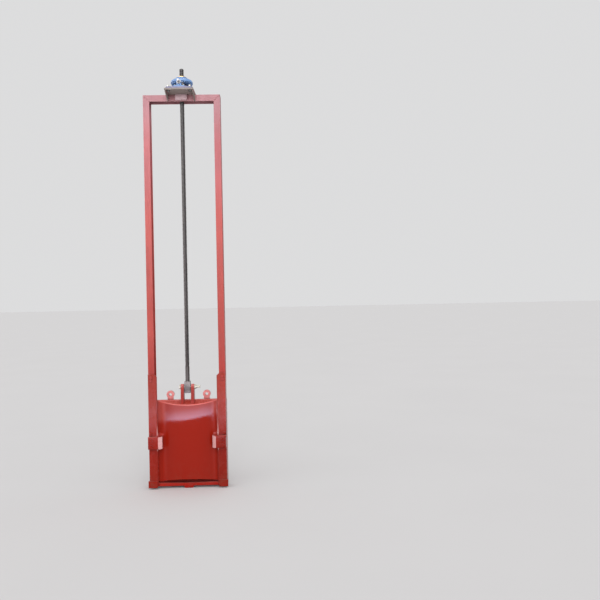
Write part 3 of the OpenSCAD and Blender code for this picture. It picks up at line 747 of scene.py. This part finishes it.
make_stem()
make_side_bolts(-1, "left")
make_side_bolts(1, "right")
make_hoist_bolts()
make_welds()


# The room

def add_floor():
    mesh = bpy.data.meshes.new("floor")
    bm = bmesh.new()
    bmesh.ops.create_grid(bm, x_segments=1, y_segments=1, size=400.0)
    bm.to_mesh(mesh)
    bm.free()
    floor = put_in_scene("floor", mesh)
    floor.location = (0, 0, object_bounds()[0].z - 0.5 * MM)
    made, tree, shader = material("pale_floor")
    tone = blend(tree, span(tree, grain(tree, 0.8, 3), 0.3, 0.7), (0.616, 0.616, 0.622),
                 (0.624, 0.624, 0.630))
    finish_shader(tree, shader, tone, 0.9, Specular_IOR_Level=0.0)
    mesh.materials.append(made)


# The room is an even pale tone to the eye, and its light comes mostly from high in front.
def light_room():
    world = bpy.data.worlds.new("studio")
    bpy.context.scene.world = world
    world.use_nodes = True
    tree = world.node_tree
    towards = add(tree, "ShaderNodeTexCoord").outputs["Generated"]
    high = span(tree, part_of(tree, towards, "Z"), 0.02, 0.45)
    ahead = span(tree, part_of(tree, towards, "Y"), 0.4, -0.5, 0.45, 0.95)
    lit = tree.nodes["Background"]
    tree.links.new(plus(tree, 0.32, times(tree, high, ahead)), lit.inputs["Strength"])
    lit.inputs["Color"].default_value = (1.0, 0.985, 0.98, 1)
    seen = add(tree, "ShaderNodeBackground", {"Color": (0.72, 0.72, 0.725, 1)})
    choice = add(tree, "ShaderNodeMixShader", {
        0: add(tree, "ShaderNodeLightPath").outputs["Is Camera Ray"], 1: lit.outputs[0],
        2: seen.outputs[0]})
    tree.links.new(choice.outputs[0], tree.nodes["World Output"].inputs[0])


# Middle of the arcs that the cards stand on.
ARC_Y = -0.1


# A glowing studio card that shows in glossy surfaces alone. It stands on an arc round the
# gate, with angles in degrees from the front towards the left. Gains and feet are the share
# of the light and the height of the lower edge at each angle. Tones run from the lower edge
# up, each with its height above that edge and its colour.
def glow_card(name, angles, tones, radius=1.2, gains=None, feet=None):
    across = len(angles)
    gains = gains or (1.0,) * across
    feet = feet or (0.0,) * across
    turns = [math.radians(a) for a in angles]
    points = [(-radius * math.sin(a), ARC_Y - radius * math.cos(a), foot + rise)
              for rise, _ in tones for a, foot in zip(turns, feet)]
    corners = [i + j * across for j in range(len(tones) - 1) for i in range(across - 1)]
    faces = [(i, i + 1, i + 1 + across, i + across) for i in corners]
    mesh = bpy.data.meshes.new(name)
    mesh.from_pydata(points, [], faces)
    tint = mesh.attributes.new("glow", "FLOAT_COLOR", "POINT")
    for i, item in enumerate(tint.data):
        item.color = (*(gains[i % across] * part for part in tones[i // across][1]), 1.0)
    made = bpy.data.materials.new(name)
    made.use_nodes = True
    tree = made.node_tree
    tree.nodes.remove(tree.nodes["Principled BSDF"])
    colour = add(tree, "ShaderNodeAttribute", attribute_name="glow").outputs["Color"]
    glow = add(tree, "ShaderNodeEmission", {0: colour})
    tree.links.new(glow.outputs[0], tree.nodes["Material Output"].inputs[0])
    mesh.materials.append(made)
    card = put_in_scene(name, mesh)
    for kind in ("camera", "diffuse", "transmission", "volume_scatter", "shadow"):
        setattr(card, "visible_" + kind, False)


def add_sun():
    data = bpy.data.lights.new("front_light", "SUN")
    data.energy = 1.3
    data.angle = math.radians(35)
    sun = put_in_scene("front_light", data)
    sun.rotation_euler = (math.radians(72), 0, math.radians(8))
    sun.visible_glossy = False


add_floor()
light_room()
glow_card(
    "front_card", (66, 55, 47, 33, 18, 0, -18, -33, -52), [
        (0.0, (16.0, 16.0, 22.0)), (0.03, (14.0, 13.5, 18.0)), (0.10, (7.0, 5.8, 6.4)),
        (0.22, (5.0, 4.2, 4.4)), (0.50, (3.0, 2.8, 2.9)), (0.85, (3.4, 3.2, 3.4)),
        (1.35, (4.4, 4.3, 4.5)), (1.9, (4.8, 4.8, 5.0)), (2.5, (5.4, 5.4, 5.6)),
        (3.0, (6.0, 6.0, 6.3)), (4.2, (6.0, 6.0, 6.3))],
    gains=(0.35, 0.40, 0.55, 0.90, 1.0, 1.0, 0.97, 0.78, 0.62),
    feet=(0.333, 0.319, 0.312, 0.307, 0.304, 0.312, 0.331, 0.350, 0.370))
glow_card(
    "left_card", (60, 72, 85, 100, 118, 135), [
        (-0.015, (0.8, 0.8, 0.8)), (0.10, (3.0, 2.9, 2.9)), (0.85, (3.0, 2.8, 2.9)),
        (4.5, (3.0, 2.9, 3.0))], 1.24)
glow_card(
    "low_left_card", (59, 64, 71, 79, 89), [
        (-0.015, (2.0, 1.9, 1.9)), (0.04, (6.0, 5.7, 5.8)), (0.12, (10.0, 9.5, 9.8)),
        (0.20, (9.0, 8.5, 8.7)), (0.29, (5.0, 4.7, 4.8)), (0.39, (2.0, 1.9, 1.9))],
    1.22, (0.0, 1.0, 1.0, 0.8, 0.0))
glow_card(
    "low_right_card", (-44, -54, -66, -78, -88, -98), [
        (-0.015, (3.0, 2.9, 2.9)), (0.03, (7.0, 6.8, 6.9)), (0.08, (9.0, 8.8, 8.9)),
        (0.13, (5.0, 4.8, 4.9)), (0.19, (1.0, 1.0, 1.0))],
    1.22, (0.0, 0.7, 1.0, 1.0, 0.7, 0.0))
glow_card(
    "stem_card", (38, 47, 56, 66), [
        (0.95, (4.5, 3.4, 3.4)), (1.4, (8.0, 6.2, 6.2)), (2.0, (10.0, 8.8, 8.6)),
        (2.6, (12.0, 11.3, 11.2)), (3.35, (13.0, 12.4, 12.3))], 1.15)
add_sun()

bpy.context.scene.view_settings.view_transform = "Standard"
